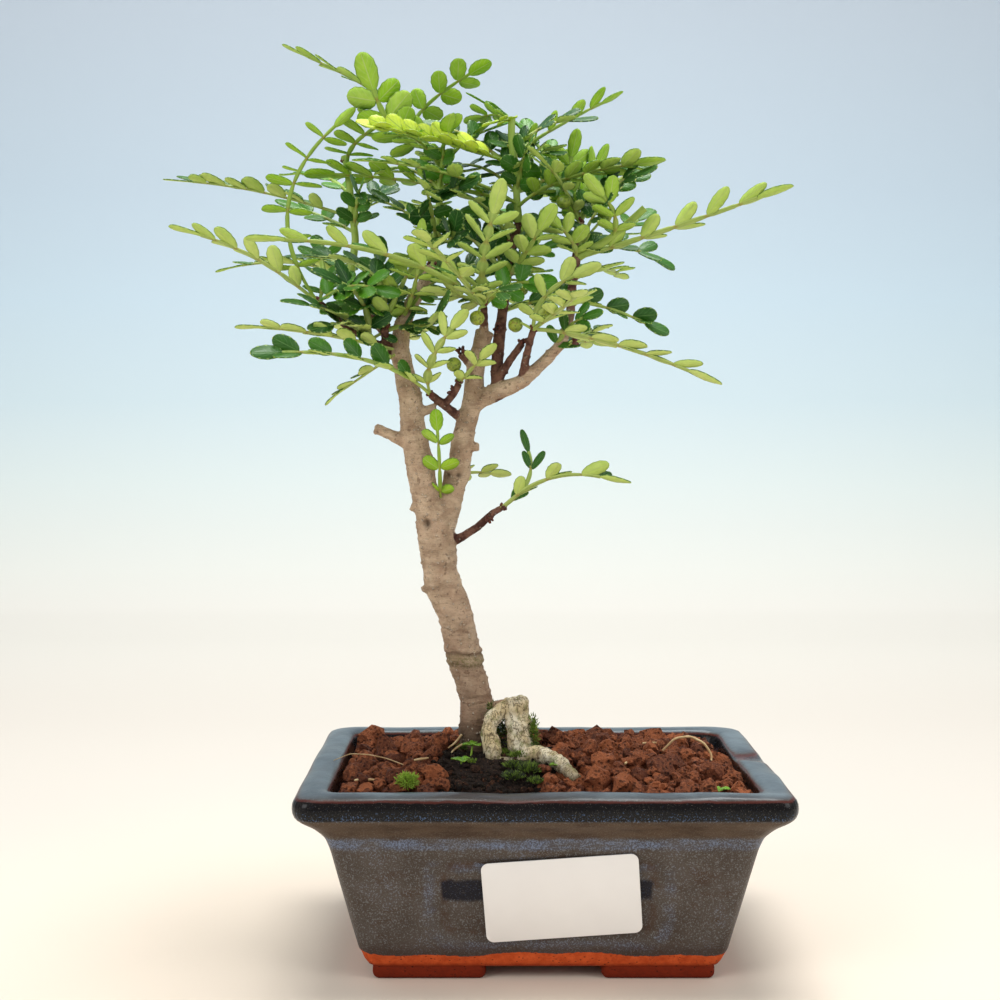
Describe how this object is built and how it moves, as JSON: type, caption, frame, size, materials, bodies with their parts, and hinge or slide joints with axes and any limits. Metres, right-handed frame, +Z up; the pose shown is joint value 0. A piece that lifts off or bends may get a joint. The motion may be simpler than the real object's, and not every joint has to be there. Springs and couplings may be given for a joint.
{
  "type": "chinese pepper bonsai",
  "caption": "Small Chinese pepper tree with feathery compound leaves and berries, grown as a bonsai in a glazed rectangular pot with a blank label.",
  "frame": {"origin": "centre of the whole object's box in plan, at the surface that the pot's feet stand on", "axes": "+Z up; +X to the right as seen from the pot's front with the label; +Y to the back"},
  "size_m": [0.1614, 0.102, 0.2409],
  "materials": {
    "glazed_stoneware": "semi-gloss blue-grey glaze, thin and brown on the edges, over red stoneware",
    "label_paper": "smooth white sticker paper, blank",
    "soil": "dark damp crumbly soil with moss",
    "lava_gravel": "rough porous red-brown granules",
    "bark": "matte grey-tan bark with dark pores and scars",
    "leaf": "glossy dark green above, matte yellow-green below"
  },
  "bodies": {
    "root": {"pot": "glazed_stoneware", "blank_label": "label_paper", "soil": "soil", "gravel": "lava_gravel", "wood": "bark", "left_twig_leaves": "leaf", "left_leader_side_leaves": "leaf", "back_twig_leaves": "leaf", "back_twig_low_leaves": "leaf", "front_twig_leaves": "leaf", "left_leader_top_leaves": "leaf", "left_leader_front_leaves": "leaf", "left_leader_back_leaves": "leaf", "crossing_twig_leaves": "leaf", "hooked_twig_leaves": "leaf", "top_twig_leaves": "leaf", "upright_side_leaves": "leaf", "upright_front_leaves": "leaf", "upright_top_leaves": "leaf", "upright_back_leaves": "leaf", "limb_top_leaves": "leaf", "limb_side_leaves": "leaf", "limb_back_leaves": "leaf", "limb_low_leaves": "leaf", "forked_twig_leaves": "leaf", "crotch_leaf": "leaf", "leader_knot_leaf": "leaf", "low_twig_leaves": "leaf"}
  },
  "joints": []
}
